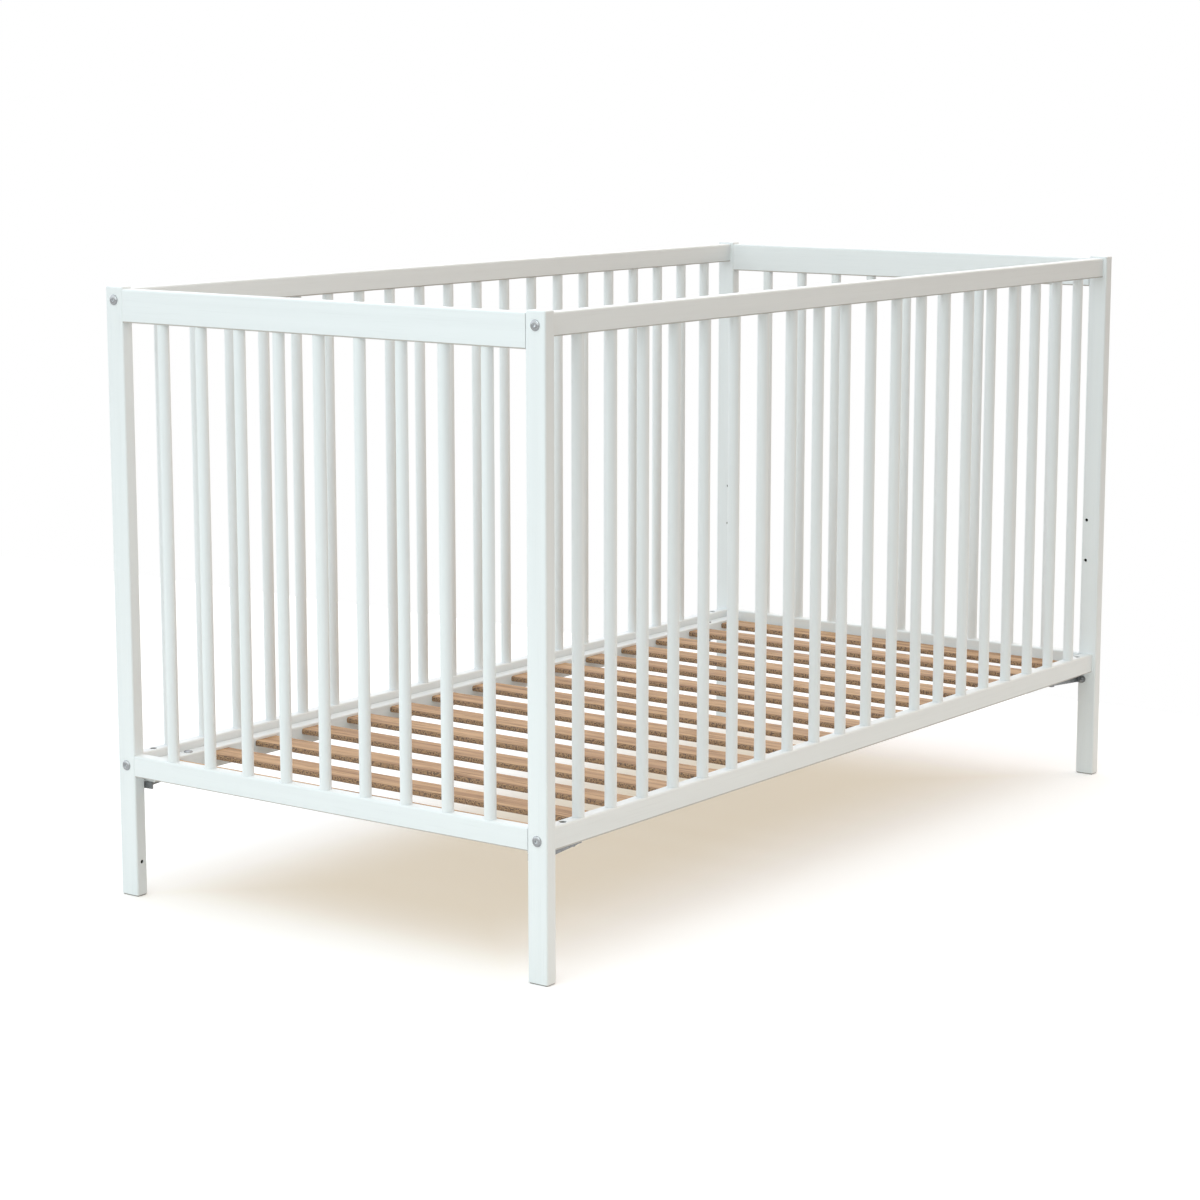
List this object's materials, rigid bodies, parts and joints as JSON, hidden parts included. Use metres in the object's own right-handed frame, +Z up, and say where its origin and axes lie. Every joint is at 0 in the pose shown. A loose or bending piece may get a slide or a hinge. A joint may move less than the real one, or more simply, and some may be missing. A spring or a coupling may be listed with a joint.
{
  "type": "baby crib",
  "caption": "Free-standing white baby crib with barred ends and long sides bolted together at the posts, and a slatted wooden base on brackets that can be refitted higher.",
  "frame": {"origin": "on the floor, under the middle of the crib", "axes": "+X along the crib, +Y across it from the front side to the back side, +Z up"},
  "size_m": [1.4904, 0.75, 0.847],
  "materials": {
    "white_paint": "satin white paint on wood",
    "slat_wood": "bare brown wood",
    "zinc_plate": "zinc plated",
    "pin_wood": "bare beech"
  },
  "bodies": {
    "frame": {"post_left_front": "white_paint", "post_left_back": "white_paint", "end_bottom_rail_left": "white_paint", "end_top_rail_left": "white_paint", "end_bars_left": "white_paint", "post_right_front": "white_paint", "post_right_back": "white_paint", "end_bottom_rail_right": "white_paint", "end_top_rail_right": "white_paint", "end_bars_right": "white_paint", "side_bottom_rail_front": "white_paint", "side_top_rail_front": "white_paint", "side_bars_front": "white_paint", "side_bottom_rail_back": "white_paint", "side_top_rail_back": "white_paint", "side_bars_back": "white_paint", "base_bracket_left_front": "zinc_plate", "base_bracket_left_back": "zinc_plate", "base_bracket_right_front": "zinc_plate", "base_bracket_right_back": "zinc_plate", "frame_bolts": "zinc_plate", "barrel_nuts": "zinc_plate", "base_nuts": "zinc_plate", "bracket_screws": "zinc_plate", "side_rail_pins": "pin_wood", "end_rail_pins": "pin_wood"},
    "slatted_base": {"base_rail_front": "white_paint", "base_rail_back": "white_paint", "base_slat_01": "slat_wood", "base_slat_02": "slat_wood", "base_slat_03": "slat_wood", "base_slat_04": "slat_wood", "base_slat_05": "slat_wood", "base_slat_06": "slat_wood", "base_slat_07": "slat_wood", "base_slat_08": "slat_wood", "base_slat_09": "slat_wood", "base_slat_10": "slat_wood", "base_slat_11": "slat_wood", "base_slat_12": "slat_wood", "base_slat_13": "slat_wood", "base_slat_14": "slat_wood", "base_slat_15": "slat_wood", "base_bolts": "zinc_plate"}
  },
  "joints": [
    {"name": "base_height", "type": "slide", "parent": "frame", "child": "slatted_base", "axis": [0, 0, 1], "range_m": [0, 0.263]}
  ]
}
